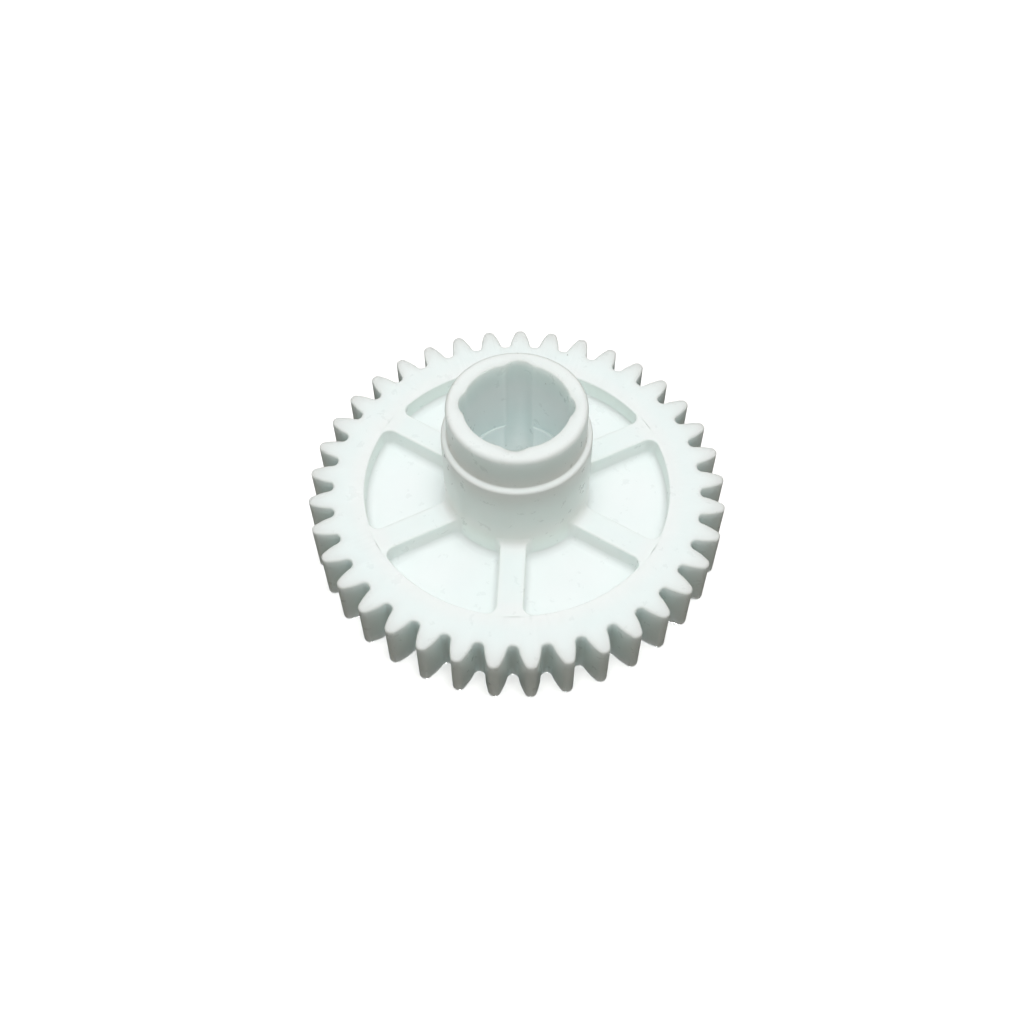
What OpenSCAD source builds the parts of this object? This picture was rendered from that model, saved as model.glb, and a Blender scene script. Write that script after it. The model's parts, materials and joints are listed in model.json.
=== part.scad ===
// Spur gear with a webbed, ribbed body and a stepped hub, moulded in white nylon.
// Millimetres. The origin is on the bore's axis at the gear's bottom face, and +Z runs up the hub.
// Two of the ribs lie along +Y and -Y, and the socket's grooves along X and Y.
// The real gear is one moulding: each module below is one region of it, and they meet face to face.

/* [Teeth] */
// Number of teeth
tooth_count = 37; // [30:1:60]
// Module: the pitch diameter divided by the number of teeth
tooth_module = 1.5; // [1.4:0.05:2]
// Pressure angle in degrees
pressure_angle = 20; // [19:0.5:21]
// Height of a tooth above the pitch circle, in modules
addendum = 1; // [0.8:0.05:1]
// Depth of a tooth space below the pitch circle, in modules
dedendum = 1.25; // [1.15:0.05:1.3]
// Radius of the rounding at each side of a tooth's tip, in modules
tip_round = 0.55; // [0.1:0.05:0.55]
// Radius of the fillet at each side of a tooth's root, in modules
root_round = 0.5; // [0.2:0.05:0.5]
// Turn of the teeth from the ribs, in degrees: a tooth lies this far from +Y
tooth_turn = 1.5; // [-5:0.1:5]
// Width of the teeth and of the rim, along the axis
face_w = 8.5; // [8:0.1:12]

/* [Web and ribs] */
// Wall of the rim between the pockets and the tooth roots
rim_wall = 4.4; // [2:0.1:5]
// Depth of the pockets in the top face
top_pocket = 3.4; // [2:0.1:4]
// Depth of the pockets in the bottom face
bottom_pocket = 2.9; // [2:0.1:3.5]
// Radius of the fillets where the web meets the hub and the rim
web_fillet = 1; // [0.3:0.1:1.5]
// Number of ribs on each side of the web
rib_count = 6; // [3:1:8]
// Width of a rib
rib_w = 3.6; // [1.5:0.1:5]

/* [Hub] */
// Diameter of the barrel, from the bottom face up to the shoulder
barrel_d = 20.4; // [19.5:0.1:24]
// Height of the shoulder above the bottom face
shoulder_h = 20; // [16:0.5:22]
// Diameter of the neck, above the shoulder
neck_d = 18.7; // [17.5:0.1:19]
// Height of the whole gear, from the bottom face to the neck's top
hub_h = 25.6; // [24:0.1:32]
// Radius of the rounding round the outside of the neck's top
lip_round = 0.6; // [0.1:0.1:0.8]
// Radius of the rounding round the shoulder's edge and the mouth of the socket
edge_round = 0.3; // [0.1:0.1:0.5]

/* [Bore] */
// Diameter of the drive socket, from the neck's top down to the ledge
socket_d = 14.1; // [13.5:0.1:14.6]
// Height of the ledge in the socket above the bottom face
ledge_h = 12.9; // [8:0.1:15]
// Diameter between the lands below the ledge
land_d = 13.5; // [12.5:0.1:13.8]
// Number of round grooves down the socket's wall
groove_count = 4; // [2:1:6]
// Radius of a groove's round section
groove_r = 2.4; // [1:0.1:3]
// Diameter across the bottoms of the grooves
groove_d = 15.2; // [14.8:0.1:16]
// Diameter of the plain pilot bore below the grooves
pilot_d = 12; // [8:0.1:12.4]

/* [Hidden] */
$fn = 96;

moulding_white = [0.93, 0.94, 0.94];

pitch_r = tooth_module * tooth_count / 2;
base_r = pitch_r * cos(pressure_angle);
tip_r = pitch_r + addendum * tooth_module;
root_r = pitch_r - dedendum * tooth_module;
tip_arc_r = tip_round * tooth_module;
root_arc_r = root_round * tooth_module;
flank_steps = 5;
arc_steps = 4;

rim_r = root_r - rim_wall;
web_top = face_w - top_pocket;
barrel_r = barrel_d / 2;
neck_r = neck_d / 2;
socket_r = socket_d / 2;
land_r = land_d / 2;
pilot_r = pilot_d / 2;
top_rib_angle = 90;
// How far a cutting shape runs past the face that it opens
cut_past = 1;

function degrees(radians) = radians * 180 / PI;

// A circle's points from angle a0 to angle a1, ends included
function arc(centre, r, a0, a1, steps = arc_steps) =
    [for (i = [0 : steps]) let (a = a0 + (a1 - a0) * i / steps) centre + r * [cos(a), sin(a)]];

// The angle of the line from point p to point q
function heading(p, q) = atan2(q[1] - p[1], q[0] - p[0]);

// The turn from angle a0 to angle a1 by the shorter way
function short_turn(a0, a1) = (a1 - a0 + 540) % 360 - 180;

// The arc about a centre from point p to point q by the shorter way
function arc_between(centre, p, q) =
    let (a0 = heading(centre, p))
    arc(centre, norm(p - centre), a0, a0 + short_turn(a0, heading(centre, q)));

// The point of an involute of the base circle that starts at angle start, after unwinding by roll
// radians. A circle of radius r that rolls on the flank has its centre on the involute that is
// turned by r / base_r, so both roundings of a tooth come from this one function.
function involute(roll, start) =
    let (a = start + degrees(roll))
    base_r * [cos(a) + roll * sin(a), sin(a) - roll * cos(a)];

// The roll at which an involute reaches radius r
function roll_at(r) = sqrt(pow(r / base_r, 2) - 1);

// Where the flank below the tooth's centre line starts on the base circle, in degrees
flank_start = -(90 / tooth_count + degrees(tan(pressure_angle)) - pressure_angle);

// Half of a tooth's outline, from the root circle up to the tip circle, for a tooth along +X
function half_tooth() =
    let (
        root_turn = root_arc_r / base_r,
        tip_turn = tip_arc_r / base_r,
        root_roll = roll_at(root_r + root_arc_r),
        tip_roll = roll_at(tip_r - tip_arc_r),
        root_centre = involute(root_roll, flank_start - degrees(root_turn)),
        tip_centre = involute(tip_roll, flank_start + degrees(tip_turn)),
        roll_low = root_roll - root_turn,
        roll_high = tip_roll + tip_turn,
        flank = [for (i = [1 : flank_steps - 1])
            involute(roll_low + (roll_high - roll_low) * i / flank_steps, flank_start)],
        root_point = root_centre * root_r / norm(root_centre),
        tip_point = tip_centre * tip_r / norm(tip_centre)
    )
    concat(
        arc_between(root_centre, root_point, involute(roll_low, flank_start)),
        flank,
        arc_between(tip_centre, involute(roll_high, flank_start), tip_point)
    );

// Points turned about the axis, and points mirrored across the X axis in reverse order
function turned(points, a) =
    [for (p = points) [p[0] * cos(a) - p[1] * sin(a), p[0] * sin(a) + p[1] * cos(a)]];
function mirrored(points) = [for (i = [len(points) - 1 : -1 : 0]) [points[i][0], -points[i][1]]];

module toothed_outline() {
    half = half_tooth();
    tooth = concat(half, mirrored(half));
    polygon([for (i = [0 : tooth_count - 1])
        each turned(tooth, top_rib_angle + tooth_turn + 360 * i / tooth_count)]);
}

module toothed_rim() {
    color(moulding_white) difference() {
        linear_extrude(face_w) toothed_outline();
        translate([0, 0, -cut_past]) cylinder(h = face_w + 2 * cut_past, r = rim_r);
    }
}

// The web between the hub and the rim, with its four fillets
module web_ring() {
    hub_side = barrel_r + web_fillet;
    rim_side = rim_r - web_fillet;
    low = bottom_pocket - web_fillet;
    high = web_top + web_fillet;
    rotate_extrude() polygon(concat(
        arc([hub_side, low], web_fillet, 180, 90),
        arc([rim_side, low], web_fillet, 90, 0),
        arc([rim_side, high], web_fillet, 0, -90),
        arc([hub_side, high], web_fillet, -90, -180)
    ));
}

module web_disc() {
    color(moulding_white) web_ring();
}

// The plan of the ribs, ending on the hub's wall and on the rim's
module rib_plan() {
    intersection() {
        difference() {
            circle(r = rim_r);
            circle(r = barrel_r);
        }
        for (i = [0 : rib_count - 1])
            rotate(top_rib_angle + 360 * i / rib_count) translate([0, -rib_w / 2]) square([rim_r, rib_w]);
    }
}

module upper_ribs() {
    color(moulding_white) difference() {
        translate([0, 0, web_top]) linear_extrude(top_pocket) rib_plan();
        web_ring();
    }
}

module lower_ribs() {
    color(moulding_white) difference() {
        linear_extrude(bottom_pocket) rib_plan();
        web_ring();
    }
}

module socket_grooves() {
    for (i = [0 : groove_count - 1])
        rotate(360 * i / groove_count) translate([groove_d / 2 - groove_r, 0, web_top])
            cylinder(h = hub_h - web_top + cut_past, r = groove_r);
}

// The hub between the web and the shoulder, with the ledge and the lands of its socket
module hub_barrel() {
    color(moulding_white) difference() {
        rotate_extrude() polygon(concat(
            [[land_r, web_top], [barrel_r, web_top]],
            arc([barrel_r - edge_round, shoulder_h - edge_round], edge_round, 0, 90),
            [[socket_r, shoulder_h], [socket_r, ledge_h], [land_r, ledge_h]]
        ));
        socket_grooves();
    }
}

// The journal above the shoulder
module hub_neck() {
    color(moulding_white) difference() {
        rotate_extrude() polygon(concat(
            [[socket_r, shoulder_h], [neck_r, shoulder_h]],
            arc([neck_r - lip_round, hub_h - lip_round], lip_round, 0, 90),
            arc([socket_r + edge_round, hub_h - edge_round], edge_round, 90, 180)
        ));
        socket_grooves();
    }
}

// The hub below the web's top, with the pilot bore
module hub_base() {
    color(moulding_white) difference() {
        cylinder(h = web_top, r = barrel_r);
        translate([0, 0, -cut_past]) cylinder(h = web_top + 2 * cut_past, r = pilot_r);
    }
}

toothed_rim();
web_disc();
upper_ribs();
lower_ribs();
hub_barrel();
hub_neck();
hub_base();
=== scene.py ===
import json
import math

import bmesh
import bpy
from mathutils import Matrix, Vector


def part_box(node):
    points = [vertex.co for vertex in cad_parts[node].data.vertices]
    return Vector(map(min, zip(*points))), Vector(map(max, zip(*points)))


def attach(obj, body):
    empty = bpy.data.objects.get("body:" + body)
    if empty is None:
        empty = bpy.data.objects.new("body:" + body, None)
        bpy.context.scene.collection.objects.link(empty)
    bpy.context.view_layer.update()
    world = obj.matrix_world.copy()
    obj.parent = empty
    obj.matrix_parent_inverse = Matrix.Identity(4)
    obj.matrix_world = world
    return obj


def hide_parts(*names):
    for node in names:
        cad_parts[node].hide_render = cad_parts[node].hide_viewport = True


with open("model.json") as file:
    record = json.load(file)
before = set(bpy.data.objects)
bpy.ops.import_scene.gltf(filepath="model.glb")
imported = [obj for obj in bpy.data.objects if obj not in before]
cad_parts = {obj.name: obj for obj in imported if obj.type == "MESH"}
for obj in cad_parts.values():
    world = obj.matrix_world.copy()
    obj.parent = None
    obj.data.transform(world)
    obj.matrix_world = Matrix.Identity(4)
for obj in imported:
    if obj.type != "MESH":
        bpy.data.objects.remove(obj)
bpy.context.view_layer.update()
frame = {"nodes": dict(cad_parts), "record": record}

# A spur gear moulded in white nylon: a toothed rim, a web with ribs on both sides, and a stepped hub
# with a grooved socket. Shapes are worked out in millimetres and become metres at the mesh.
MM = 0.001
MOUNTS = {m["name"]: m["dims"] for m in frame["record"]["mounts"]}
BOX = {n: [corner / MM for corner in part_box(n)] for n in frame["nodes"]}

# Sizes that the frame gives
FACE = BOX["toothed_rim"][1].z
WEB_TOP = BOX["hub_base"][1].z
WEB_LOW = BOX["lower_ribs"][1].z
RIM_R = BOX["web_disc"][1].x
BARREL_R = BOX["hub_barrel"][1].x
SHOULDER = BOX["hub_barrel"][1].z
NECK_R = MOUNTS["neck_journal"]["r_mm"]
HUB_TOP = BOX["hub_neck"][1].z
PITCH_R = MOUNTS["tooth_mesh"]["r_mm"]
SOCKET_R = MOUNTS["drive_socket"]["r_mm"]
PILOT_R = MOUNTS["pilot_bore"]["r_mm"]

# The teeth
TEETH = 37
MODULE = 2 * PITCH_R / TEETH
PRESSURE = math.radians(20)
BASE_R = PITCH_R * math.cos(PRESSURE)
TIP_R = PITCH_R + MODULE
ROOT_R = PITCH_R - 1.25 * MODULE  # the usual depth below the pitch circle
TIP_ARC = 0.55 * MODULE
ROOT_ARC = 0.5 * MODULE
FIRST_TOOTH = math.radians(91.5)
TOOTH_EDGE = 0.3

# Ribs and pockets: a rib's half width and rounded edge, and the rounded corners of a pocket's plan
RIBS = 6
FIRST_RIB = math.radians(90)
RIB_HALF = 1.8
RIB_EDGE = 0.25
CORNER_RIM = 1.3
CORNER_HUB = 1.15
# The fillet round a pocket's floor, and the one by which a rib's top climbs the barrel
FILLET = 1.0
RISE = 1.0
# Rows across a rib, as parts of the way from the hub's corner to the rim's
RIB_ROWS = (0.9, 0.7, 0.5, 0.3, 0.15, 0.08, 0.05, 0.03, 0.015)
RIB_ACROSS = 10
# How far the web reaches into its neighbours, and a rib into the web, so that no crack shows
TUCK = 0.03
RIB_SINK = 0.3

# The hub: how much the barrel narrows towards the shoulder, and its roundings
DRAFT = 0.04
MID_BARREL = 15
SHOULDER_EDGE = 0.45
NECK_FOOT = 0.25
LIP = 0.7
MOUTH_EDGE = 0.2
FOOT_EDGE = 0.25
# The ledge in the socket, the lands below it, and (inset, drop) down the ledge's rounded edge
LEDGE = 12.9
LAND_R = 6.75
LAND_EDGE = 0.1
LAND_STEPS = ((0, 0), (0.07, 0.03), (LAND_EDGE, LAND_EDGE))
# The socket's round grooves: their centres' radius, their own, and the softening of their edges
GROOVES = 4
GROOVE_AT = 5.2
GROOVE_R = 2.4
ARRIS = 0.15

# Points closer than the first are one point, and edges shorter than the second are dropped
MERGE = 0.0004
SLIVER = 0.0002
# Edges that turn more than this stay sharp, in degrees
SHARP = 38
SHARP_ON_HUB = 30
FLATNESS = 80

# White nylon, as linear colours: (dark, light) close to a contact and away from one
TONES_NEAR = ((0.868, 0.94, 0.92), (0.884, 0.95, 0.935))
TONES_FAR = ((0.84, 0.94, 0.92), (0.855, 0.95, 0.935))
SPECK = (0.3, 0.29, 0.26)
NYLON_IOR = 1.53
# Light reaches this far into the nylon at this distance from a contact, and less nearer to it
DEEPEST = 2.4
DEEPEST_AT = 6

# The dome of light: (height as the sine of the elevation, colour), warm low down
DOME = ((0.06, (0.5, 0.43, 0.2)), (0.25, (0.52, 0.48, 0.33)),
        (0.5, (0.64, 0.66, 0.64)), (0.75, (1.0, 1.0, 1.0)))
DOME_STRENGTH = 0.65
SUN_ANGLE = 1
SUN_STRENGTH = 1.8

# The camera, in degrees and millimetres
AZIMUTH = 3
ELEVATION = 55.32
ROLL = 0.31
AIM = (-0.43, -5.07, 8.5)
DISTANCE = 162.8
LENS = 41.27
SENSOR = 36


# ---------------------------------------------------------------- outlines

def on_circle(r, a):
    return Vector((r * math.cos(a), r * math.sin(a)))


def turned(pairs, a):
    """Point and normal pairs turned about the axis."""
    turn = Matrix.Rotation(a, 2)
    return [(turn @ p, turn @ n) for p, n in pairs]


def mirrored(pairs):
    """Point and normal pairs mirrored across the X axis, in reverse order."""
    return [(Vector((p.x, -p.y)), Vector((n.x, -n.y))) for p, n in reversed(pairs)]


def spread(a, b, steps):
    return [a + (b - a) * i / steps for i in range(steps + 1)]


def arc_pairs(centre, r, a0, a1, steps, sign):
    """An arc's points with normals along sign times the direction from its centre."""
    return [(centre + on_circle(r, a), on_circle(sign, a)) for a in spread(a0, a1, steps)]


def involute(roll, start):
    a = start + roll
    return BASE_R * Vector((math.cos(a) + roll * math.sin(a), math.sin(a) - roll * math.cos(a)))


def short_arc(centre, p, q, steps, sign):
    """The arc about centre from p to q by the shorter way."""
    a0 = math.atan2(p.y - centre.y, p.x - centre.x)
    a1 = math.atan2(q.y - centre.y, q.x - centre.x)
    a1 = a0 + (a1 - a0 + math.pi) % math.tau - math.pi
    return arc_pairs(centre, (p - centre).length, a0, a1, steps, sign)


def half_tooth():
    """From the root circle to the tip circle, below the centre line of a tooth along +X."""
    start = -(math.pi / (2 * TEETH) + math.tan(PRESSURE) - PRESSURE)
    root_roll = math.sqrt(((ROOT_R + ROOT_ARC) / BASE_R) ** 2 - 1)
    tip_roll = math.sqrt(((TIP_R - TIP_ARC) / BASE_R) ** 2 - 1)
    root_centre = involute(root_roll, start - ROOT_ARC / BASE_R)
    tip_centre = involute(tip_roll, start + TIP_ARC / BASE_R)
    low = root_roll - ROOT_ARC / BASE_R
    high = tip_roll + TIP_ARC / BASE_R
    flank = [(involute(roll, start), Vector((-math.sin(start + roll), math.cos(start + roll))))
             for roll in spread(low, high, 7)[1:-1]]
    root_end = root_centre.normalized() * ROOT_R
    tip_end = tip_centre.normalized() * TIP_R
    return (short_arc(root_centre, root_end, involute(low, start), 6, 1) + flank
            + short_arc(tip_centre, involute(high, start), tip_end, 8, -1))


def toothed_outline():
    half = half_tooth()
    tooth = half + mirrored(half)
    return [pair for i in range(TEETH)
            for pair in turned(tooth, FIRST_TOOTH + math.tau * i / TEETH)]


def rib_side():
    """The side of a rib along +X at negative Y, from the rim to the hub, with its end corners."""
    far = RIB_HALF + CORNER_RIM
    near = RIB_HALF + CORNER_HUB
    rim_corner = Vector((math.sqrt((RIM_R - CORNER_RIM) ** 2 - far ** 2), -far))
    hub_corner = Vector((math.sqrt((BARREL_R + CORNER_HUB) ** 2 - near ** 2), -near))
    out = math.atan2(rim_corner.y, rim_corner.x)
    back = math.atan2(hub_corner.y, hub_corner.x) + math.pi
    up = Vector((0, 1))
    reach = rim_corner.x - hub_corner.x
    line = [(Vector((hub_corner.x + reach * t, -RIB_HALF)), up)
            for t in RIB_ROWS]
    return (arc_pairs(rim_corner, CORNER_RIM, out, math.pi / 2, 9, 1) + line
            + arc_pairs(hub_corner, CORNER_HUB, math.pi / 2, back, 10, 1))


def pocket_outline():
    """The pocket about +X between two ribs, with normals into the pocket."""
    side = [(p, -n) for p, n in turned(rib_side(), math.pi / RIBS)]
    first, last = side[0][0], side[-1][0]
    origin = Vector((0, 0))
    rim_arc = arc_pairs(origin, RIM_R, 0, math.atan2(first.y, first.x), 12, -1)
    hub_arc = arc_pairs(origin, BARREL_R, math.atan2(last.y, last.x), 0, 10, 1)
    half = rim_arc[:-1] + side + hub_arc[1:]
    return half + mirrored(half)[1:-1]


def hub_angles():
    """Angles for every ring of the hub, closer together at the edges of the grooves."""
    corners = [math.acos((GROOVE_AT ** 2 + r * r - GROOVE_R ** 2) / (2 * GROOVE_AT * r))
               for r in (SOCKET_R, LAND_R)]
    fine = [c + math.radians(d) for c in corners for d in (-1.2, -0.6, -0.3, 0, 0.3, 0.6, 1.2)]
    wide = [math.radians(d) for d in (3, 6, 9, 11.5, 17, 22.5, 26, 30, 34, 38, 42)]
    half = sorted(fine + wide)
    quarter = [-a for a in reversed(half)] + [0] + half + [math.pi / GROOVES]
    return [g * math.tau / GROOVES + a for g in range(GROOVES) for a in quarter]


def grooved_r(r, a):
    """Radius of a bore of radius r at angle a, with its round grooves and a soft arris at each."""
    pitch = math.tau / GROOVES
    psi = (a + pitch / 2) % pitch - pitch / 2
    inside = GROOVE_R ** 2 - (GROOVE_AT * math.sin(psi)) ** 2
    if inside <= 0:
        return r
    groove = GROOVE_AT * math.cos(psi) + math.sqrt(inside)
    overlap = max(ARRIS - abs(r - groove), 0) / ARRIS
    return max(r, groove) + overlap ** 2 * ARRIS / 4


# ---------------------------------------------------------------- mesh building

def add_ring(bm, points, z):
    """A ring of vertices at height z, or at each point's own height."""
    heights = z if isinstance(z, list) else [z] * len(points)
    return [bm.verts.new((p[0] * MM, p[1] * MM, h * MM)) for p, h in zip(points, heights)]


def skin(bm, rings, close=False):
    """Quads between each ring and the next, and from the last to the first if close is true."""
    pairs = list(zip(rings, rings[1:]))
    if close:
        pairs.append((rings[-1], rings[0]))
    for low, high in pairs:
        for i in range(len(low)):
            j = (i + 1) % len(low)
            bm.faces.new((low[i], low[j], high[j], high[i]))


def round_steps(r, steps=4):
    """(inset, rise) along a quarter round of radius r, from a wall to the face above it."""
    return [(r * (1 - math.cos(t)), r * math.sin(t)) for t in spread(0, math.pi / 2, steps)]


def shifted(pairs, d):
    return [p + n * d for p, n in pairs]


def profile_rings(bm, profile, angles):
    """Rings for a profile of (radius function or radius, z), turned about the axis."""
    rings = []
    for r, z in profile:
        points = [on_circle(r(a) if callable(r) else r, a) for a in angles]
        rings.append(add_ring(bm, points, z))
    return rings


def make_piece(bm, name, node, material, seam, sharp_deg=SHARP):
    """Ends the mesh, shades it and ties the piece to the frame.

    seam gives how far a point is from where the piece meets its neighbours: the light that soaks
    into the nylon reaches less far there, so that the moulding shows no joints.
    """
    bmesh.ops.remove_doubles(bm, verts=bm.verts, dist=MERGE * MM)
    bmesh.ops.dissolve_degenerate(bm, edges=bm.edges, dist=SLIVER * MM)
    bmesh.ops.recalc_face_normals(bm, faces=bm.faces)
    sharp = math.radians(sharp_deg)
    for e in bm.edges:
        e.smooth = len(e.link_faces) == 2 and e.calc_face_angle() < sharp
    for f in bm.faces:
        f.smooth = True
    mesh = bpy.data.meshes.new(name)
    bm.to_mesh(mesh)
    bm.free()
    depth = mesh.attributes.new("seam", "FLOAT", "POINT")
    depth.data.foreach_set("value", [max(seam(v.co / MM), 0) * MM for v in mesh.vertices])
    piece = bpy.data.objects.new(name, mesh)
    bpy.context.scene.collection.objects.link(piece)
    mesh.materials.append(material)
    weighted = piece.modifiers.new("flat_faces", "WEIGHTED_NORMAL")
    weighted.mode = "FACE_AREA"
    weighted.weight = FLATNESS
    weighted.keep_sharp = True
    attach(piece, "root")
    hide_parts(node)
    return piece


# ---------------------------------------------------------------- sub-parts

def make_toothed_rim(material):
    bm = bmesh.new()
    outline = toothed_outline()
    angles = [math.atan2(p.y, p.x) for p, n in outline]
    rings = []
    for inset, rise in round_steps(RIB_EDGE):
        points = [on_circle(RIM_R + inset, a) for a in angles]
        rings.append(add_ring(bm, points, FACE - RIB_EDGE + rise))
    for inset, rise in reversed(round_steps(TOOTH_EDGE)):
        rings.append(add_ring(bm, shifted(outline, inset), FACE - TOOTH_EDGE + rise))
    for inset, rise in round_steps(TOOTH_EDGE):
        rings.append(add_ring(bm, shifted(outline, inset), TOOTH_EDGE - rise))
    for inset, rise in reversed(round_steps(RIB_EDGE)):
        points = [on_circle(RIM_R + inset, a) for a in angles]
        rings.append(add_ring(bm, points, RIB_EDGE - rise))
    skin(bm, rings, close=True)
    return make_piece(bm, "nylon_toothed_rim", "toothed_rim", material,
                      lambda p: p.xy.length - RIM_R)


def add_pockets(bm, top, floor):
    """Six pockets with a fillet round the floor, and the ribs' footprints between them."""
    outline = pocket_outline()
    side = rib_side()
    up = 1 if top > floor else -1
    for i in range(RIBS):
        at = FIRST_RIB + math.tau * (i + 0.5) / RIBS
        pocket = turned(outline, at)
        rings = [add_ring(bm, shifted(pocket, inset - TUCK), top - up * rise)
                 for inset, rise in round_steps(FILLET, 7)]
        skin(bm, rings)
        bm.faces.new(rings[-1])
    for i in range(RIBS):
        pair = turned(side + mirrored(side), FIRST_RIB + math.tau * i / RIBS)
        bm.faces.new(add_ring(bm, shifted(pair, TUCK), top))


def make_web_disc(material):
    bm = bmesh.new()
    high = WEB_TOP + FILLET
    low = WEB_LOW - FILLET
    add_pockets(bm, high, WEB_TOP)
    add_pockets(bm, low, WEB_LOW)
    outline = shifted(pocket_outline(), -TUCK)
    for r in (RIM_R + TUCK, BARREL_R - TUCK):
        pocket_angles = [math.atan2(p.y, p.x) for p in outline if abs(p.length - r) < 1e-4]
        at = sorted((FIRST_RIB + math.tau * (i + 0.5) / RIBS + a) % math.tau
                    for i in range(RIBS) for a in pocket_angles)
        points = [on_circle(r, a) for a in at]
        skin(bm, [add_ring(bm, points, low), add_ring(bm, points, high)])
    return make_piece(bm, "nylon_web_disc", "web_disc", material,
                      lambda p: min(high - p.z, p.z - low))


def lift(r):
    """How far a rib's top has climbed the barrel at radius r, along its fillet."""
    gap = max(r - BARREL_R, 0)
    if gap >= RISE:
        return 0
    return RISE - math.sqrt(RISE ** 2 - (RISE - gap) ** 2)


def add_rib(bm, turn, contact, face, climbs):
    """A rib from the rim to the hub, lofted through rows that lie on circles about the axis."""
    up = 1 if face > contact else -1
    loops = []
    for p, n in rib_side():
        points = [p]
        heights = [contact]
        for inset, rise in round_steps(RIB_EDGE):
            q = p + n * inset
            points.append(q)
            climb = lift(q.length) if climbs else 0
            heights.append(face + up * (climb - RIB_EDGE + rise))
        half_turn = math.atan2(points[-1].y, points[-1].x)
        row = [on_circle(points[-1].length, a) for a in spread(half_turn, -half_turn, RIB_ACROSS)]
        foot_turn = math.atan2(p.y, p.x)
        foot = [on_circle(p.length, a) for a in spread(-foot_turn, foot_turn, RIB_ACROSS)]
        far_side = [Vector((q.x, -q.y)) for q in reversed(points)]
        loop = points + row[1:-1] + far_side + foot[1:-1]
        level = (heights + [heights[-1]] * (RIB_ACROSS - 1) + heights[::-1]
                 + [contact] * (RIB_ACROSS - 1))
        spin = Matrix.Rotation(turn, 2)
        loops.append(add_ring(bm, [spin @ q for q in loop], level))
    skin(bm, loops)
    bm.faces.new(loops[0])
    bm.faces.new(loops[-1])


def make_ribs(name, node, material, contact, face, climbs):
    bm = bmesh.new()
    for i in range(RIBS):
        add_rib(bm, FIRST_RIB + math.tau * i / RIBS, contact, face, climbs)
    return make_piece(bm, name, node, material, lambda p: min(
        abs(p.z - contact), p.xy.length - BARREL_R, RIM_R - p.xy.length))


def barrel_r(z):
    """The barrel's radius at height z, with the draft that lets it leave the mould."""
    return BARREL_R - DRAFT * max(z - WEB_TOP - FILLET, 0) / (SHOULDER - WEB_TOP - FILLET)


def socket_wall(r):
    return lambda a: grooved_r(r, a)


def make_hub_barrel(material):
    bm = bmesh.new()
    outer = [(barrel_r(z), z) for z in (WEB_TOP, WEB_TOP + FILLET, FACE + RISE, MID_BARREL)]
    top_r = barrel_r(SHOULDER)
    outer += [(top_r - inset, SHOULDER - SHOULDER_EDGE + rise)
              for inset, rise in round_steps(SHOULDER_EDGE)]
    ledge = [(socket_wall(SOCKET_R), SHOULDER), (socket_wall(SOCKET_R), LEDGE)]
    ledge += [(socket_wall(LAND_R + LAND_EDGE - inset), LEDGE - drop)
              for inset, drop in LAND_STEPS]
    profile = outer + [(NECK_R, SHOULDER)] + ledge + [(socket_wall(LAND_R), WEB_TOP)]
    skin(bm, profile_rings(bm, profile, hub_angles()), close=True)
    return make_piece(bm, "nylon_hub_barrel", "hub_barrel", material,
                      lambda p: min(SHOULDER - p.z, p.z - FACE - RISE), sharp_deg=SHARP_ON_HUB)


def make_hub_neck(material):
    bm = bmesh.new()
    profile = [(NECK_R + NECK_FOOT - rise, SHOULDER + inset)
               for inset, rise in round_steps(NECK_FOOT)]
    profile += [(NECK_R - inset, HUB_TOP - LIP + rise) for inset, rise in round_steps(LIP, 6)]
    mouth = [(socket_wall(SOCKET_R + inset), HUB_TOP - MOUTH_EDGE + rise)
             for inset, rise in reversed(round_steps(MOUTH_EDGE, 3))]
    profile += mouth + [(socket_wall(SOCKET_R), SHOULDER)]
    skin(bm, profile_rings(bm, profile, hub_angles()), close=True)
    return make_piece(bm, "nylon_hub_neck", "hub_neck", material,
                      lambda p: p.z - SHOULDER, sharp_deg=SHARP_ON_HUB)


def make_hub_base(material):
    bm = bmesh.new()
    profile = [(PILOT_R, WEB_TOP), (BARREL_R, WEB_TOP)]
    profile += [(BARREL_R - inset, FOOT_EDGE - rise) for inset, rise in round_steps(FOOT_EDGE)]
    profile += [(PILOT_R + inset, FOOT_EDGE - rise)
                for inset, rise in reversed(round_steps(FOOT_EDGE))]
    skin(bm, profile_rings(bm, profile, hub_angles()), close=True)
    return make_piece(bm, "nylon_hub_base", "hub_base", material, lambda p: 0)


# ---------------------------------------------------------------- material

def in_mm(tree, per_mm):
    """Object coordinates in millimetres, times per_mm."""
    n = tree.nodes.new("ShaderNodeVectorMath")
    n.operation = "MULTIPLY"
    n.inputs[1].default_value = [per_mm / MM] * 3
    tree.links.new(tree.nodes.new("ShaderNodeTexCoord").outputs["Object"], n.inputs[0])
    return n.outputs[0]


def noise(tree, per_mm, detail, rough):
    n = tree.nodes.new("ShaderNodeTexNoise")
    n.inputs["Scale"].default_value = 1
    n.inputs["Detail"].default_value = detail
    n.inputs["Roughness"].default_value = rough
    tree.links.new(in_mm(tree, per_mm), n.inputs["Vector"])
    return n.outputs["Fac"]


def ramp(tree, value, low, high, to_low, to_high):
    """A smooth step from to_low to to_high as value goes from low to high."""
    n = tree.nodes.new("ShaderNodeMapRange")
    n.interpolation_type = "SMOOTHSTEP"
    for key, x in (("From Min", low), ("From Max", high), ("To Min", to_low), ("To Max", to_high)):
        n.inputs[key].default_value = x
    tree.links.new(value, n.inputs["Value"])
    return n.outputs["Result"]


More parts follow.
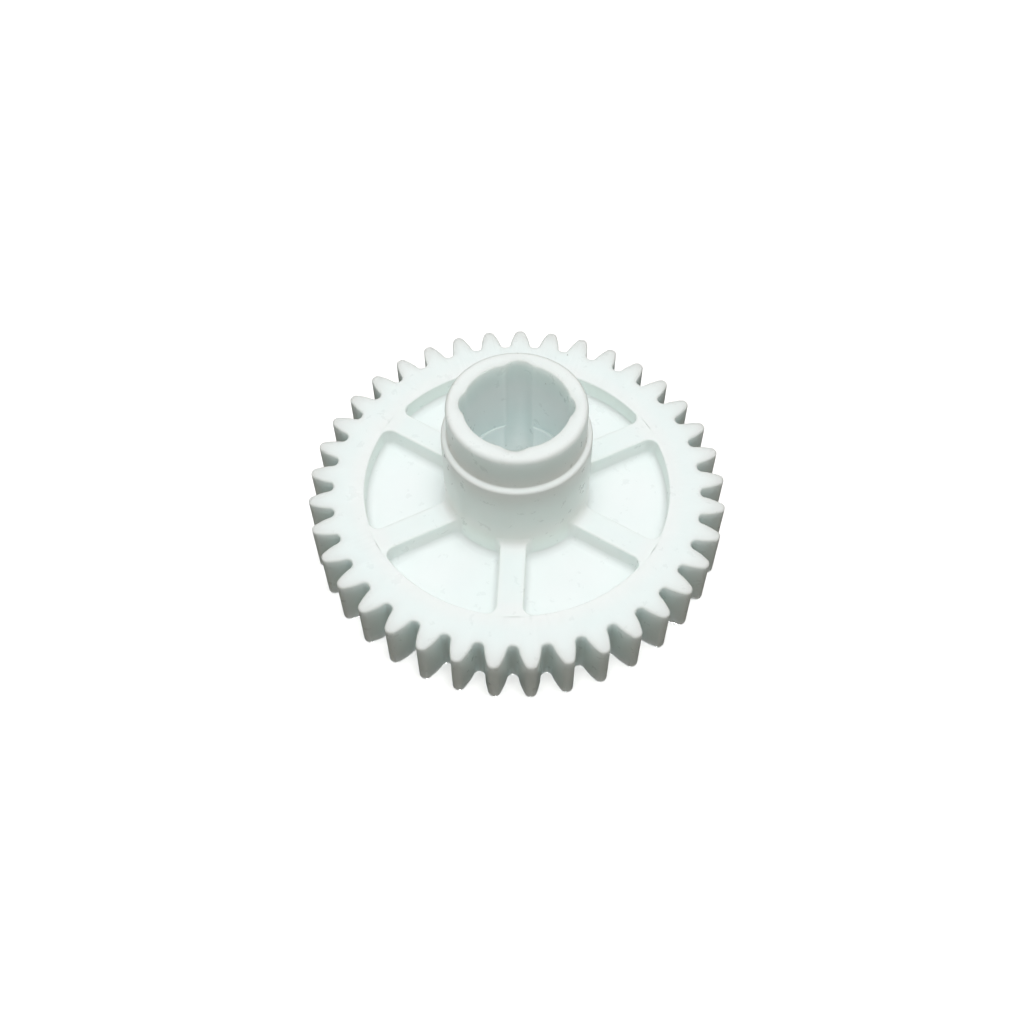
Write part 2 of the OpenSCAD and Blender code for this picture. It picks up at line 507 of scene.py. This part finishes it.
def mix(tree, factor, a, b):
    """A mix of two colours, each a tuple or a socket."""
    n = tree.nodes.new("ShaderNodeMix")
    n.data_type = "RGBA"
    tree.links.new(factor, n.inputs[0])
    for socket, x in ((n.inputs[6], a), (n.inputs[7], b)):
        if isinstance(x, tuple):
            socket.default_value = (*x, 1)
        else:
            tree.links.new(x, socket)
    return n.outputs[2]


def speck_mask(tree):
    """Tiny dark specks, in about one cell in five of a coarse pattern."""
    spots = tree.nodes.new("ShaderNodeTexVoronoi")
    spots.inputs["Scale"].default_value = 1
    tree.links.new(in_mm(tree, 0.28), spots.inputs["Vector"])
    channel = tree.nodes.new("ShaderNodeSeparateColor")
    tree.links.new(spots.outputs["Color"], channel.inputs[0])
    both = tree.nodes.new("ShaderNodeMath")
    both.operation = "MULTIPLY"
    tree.links.new(ramp(tree, spots.outputs["Distance"], 0.022, 0.04, 1, 0), both.inputs[0])
    tree.links.new(ramp(tree, channel.outputs[0], 0.8, 0.82, 0, 0.8), both.inputs[1])
    return both.outputs[0]


def nylon_colour(tree, seam):
    """Cloudy white with specks, a little cooler in tone away from contacts."""
    cloud = ramp(tree, noise(tree, 0.12, 3, 0.5), 0.3, 0.7, 0, 1)
    away = ramp(tree, seam, 0.3 * MM, 3 * MM, 0, 1)
    tone = mix(tree, away, mix(tree, cloud, *TONES_NEAR), mix(tree, cloud, *TONES_FAR))
    return mix(tree, speck_mask(tree), tone, SPECK)


def fine_relief(tree):
    bump = tree.nodes.new("ShaderNodeBump")
    bump.inputs["Strength"].default_value = 0.15
    bump.inputs["Distance"].default_value = 0.03 * MM
    tree.links.new(noise(tree, 2.2, 3, 0.6), bump.inputs["Height"])
    return bump.outputs["Normal"]


def light_reach(tree, seam):
    """How far light spreads inside the nylon, in proportion to the distance from a contact."""
    reach = tree.nodes.new("ShaderNodeMapRange")
    reach.inputs["From Max"].default_value = DEEPEST_AT * MM
    reach.inputs["To Max"].default_value = DEEPEST * MM
    tree.links.new(seam, reach.inputs["Value"])
    return reach.outputs["Result"]


def make_nylon():
    """White moulded nylon: translucent, cool in tone, and softly glossy over a faint relief."""
    material = bpy.data.materials.new("white_nylon")
    material.use_nodes = True
    tree = material.node_tree
    shader = tree.nodes["Principled BSDF"]
    shader.inputs["IOR"].default_value = NYLON_IOR
    shader.inputs["Subsurface Weight"].default_value = 1.0
    shader.inputs["Subsurface Scale"].default_value = 1.0
    attribute = tree.nodes.new("ShaderNodeAttribute")
    attribute.attribute_name = "seam"
    seam = attribute.outputs["Fac"]
    gloss = ramp(tree, noise(tree, 0.5, 4, 0.6), 0.3, 0.7, 0.27, 0.33)
    tree.links.new(nylon_colour(tree, seam), shader.inputs["Base Color"])
    tree.links.new(gloss, shader.inputs["Roughness"])
    tree.links.new(fine_relief(tree), shader.inputs["Normal"])
    tree.links.new(light_reach(tree, seam), shader.inputs["Subsurface Radius"])
    return material


# ---------------------------------------------------------------- stage, light and camera

def floor_material(name, shade, glow):
    """A pale matt floor, clear from below, so that the gear's underside can be seen through it."""
    material = bpy.data.materials.new(name)
    material.use_nodes = True
    nodes = material.node_tree.nodes
    links = material.node_tree.links
    shader = nodes["Principled BSDF"]
    shader.inputs["Base Color"].default_value = (shade, shade, shade, 1)
    shader.inputs["Roughness"].default_value = 0.9
    shader.inputs["Emission Color"].default_value = (1, 1, 1, 1)
    shader.inputs["Emission Strength"].default_value = glow
    behind = nodes.new("ShaderNodeNewGeometry")
    clear = nodes.new("ShaderNodeBsdfTransparent")
    sided = nodes.new("ShaderNodeMixShader")
    links.new(behind.outputs["Backfacing"], sided.inputs[0])
    links.new(shader.outputs[0], sided.inputs[1])
    links.new(clear.outputs[0], sided.inputs[2])
    links.new(sided.outputs[0], nodes["Material Output"].inputs["Surface"])
    return material


def make_disc(name, r, z, shade, glow, lights_gear):
    """A round piece of the floor. Light off it reaches the gear only where lights_gear is true."""
    bm = bmesh.new()
    bm.faces.new(add_ring(bm, [on_circle(r, a) for a in spread(0, math.tau, 64)[:-1]], z))
    mesh = bpy.data.meshes.new(name)
    bm.to_mesh(mesh)
    bm.free()
    disc = bpy.data.objects.new(name, mesh)
    bpy.context.scene.collection.objects.link(disc)
    mesh.materials.append(floor_material(name, shade, glow))
    disc.visible_diffuse = lights_gear
    disc.visible_glossy = lights_gear
    disc.visible_shadow = False


def make_world():
    """White for the camera, and for the light a dome that is bright overhead."""
    world = bpy.data.worlds.new("studio")
    bpy.context.scene.world = world
    world.use_nodes = True
    nodes = world.node_tree.nodes
    links = world.node_tree.links
    dome = nodes["Background"]
    coords = nodes.new("ShaderNodeTexCoord")
    axes = nodes.new("ShaderNodeSeparateXYZ")
    links.new(coords.outputs["Generated"], axes.inputs[0])
    height = nodes.new("ShaderNodeValToRGB")
    stops = height.color_ramp.elements
    stops[0].position, stops[0].color = 0.0, (0, 0, 0, 1)
    stops[1].position, stops[1].color = 1.0, (1.0, 1.0, 1.0, 1)
    for at, colour in DOME:
        stop = stops.new(at)
        stop.color = (*colour, 1)
    links.new(axes.outputs["Z"], height.inputs[0])
    links.new(height.outputs[0], dome.inputs["Color"])
    dome.inputs["Strength"].default_value = DOME_STRENGTH
    pale = nodes.new("ShaderNodeBackground")
    path = nodes.new("ShaderNodeLightPath")
    mixed = nodes.new("ShaderNodeMixShader")
    links.new(path.outputs["Is Camera Ray"], mixed.inputs[0])
    links.new(dome.outputs[0], mixed.inputs[1])
    links.new(pale.outputs[0], mixed.inputs[2])
    pale.inputs["Color"].default_value = (1, 1, 1, 1)
    links.new(mixed.outputs[0], nodes["World Output"].inputs["Surface"])


def make_light(name, at, aim, size, watts):
    """A round lamp that lights the gear and leaves no highlight on it."""
    data = bpy.data.lights.new(name, "AREA")
    data.shape = "DISK"
    data.size = size
    data.energy = watts
    light = bpy.data.objects.new(name, data)
    bpy.context.scene.collection.objects.link(light)
    light.visible_glossy = False
    light.location = at
    light.rotation_euler = (Vector(aim) - Vector(at)).to_track_quat("-Z", "Y").to_euler()


def make_light_from_below():
    """A sun that shines straight up, so that the underside can be seen in views from below."""
    data = bpy.data.lights.new("from_below", "SUN")
    data.angle = math.radians(SUN_ANGLE)
    data.energy = SUN_STRENGTH
    sun = bpy.data.objects.new("from_below", data)
    bpy.context.scene.collection.objects.link(sun)
    sun.rotation_euler = (math.pi, 0, 0)


def make_camera():
    azimuth = math.radians(AZIMUTH)
    elevation = math.radians(ELEVATION)
    roll = math.radians(ROLL)
    along = Vector((-math.sin(azimuth) * math.cos(elevation),
                    math.cos(azimuth) * math.cos(elevation), -math.sin(elevation)))
    right = Vector((math.cos(azimuth), math.sin(azimuth), 0))
    up = right.cross(along)
    side = right * math.cos(roll) - up * math.sin(roll)
    top = right * math.sin(roll) + up * math.cos(roll)
    data = bpy.data.cameras.new("camera")
    data.sensor_width = SENSOR
    data.lens = LENS
    data.clip_start = 0.01
    camera = bpy.data.objects.new("camera", data)
    bpy.context.scene.collection.objects.link(camera)
    camera.matrix_world = Matrix.LocRotScale(
        (Vector(AIM) - along * DISTANCE) * MM, Matrix((side, top, -along)).transposed(), None)
    bpy.context.scene.camera = camera
    bpy.context.scene.view_settings.view_transform = "Standard"


nylon = make_nylon()
make_toothed_rim(nylon)
make_web_disc(nylon)
make_ribs("nylon_upper_ribs", "upper_ribs", nylon, WEB_TOP + FILLET - RIB_SINK, FACE, True)
make_ribs("nylon_lower_ribs", "lower_ribs", nylon, WEB_LOW - FILLET + RIB_SINK, 0, False)
make_hub_barrel(nylon)
make_hub_neck(nylon)
make_hub_base(nylon)

make_disc("floor", 1500, -0.02, 0.95, 0.3, False)
make_disc("floor_in_bore", 5.8, -0.015, 0.9, 0.6, True)
make_world()
make_light("overhead", (0.02, -0.05, 0.7), (0, 0, 0.01), 0.3, 2.5)
make_light_from_below()
make_camera()
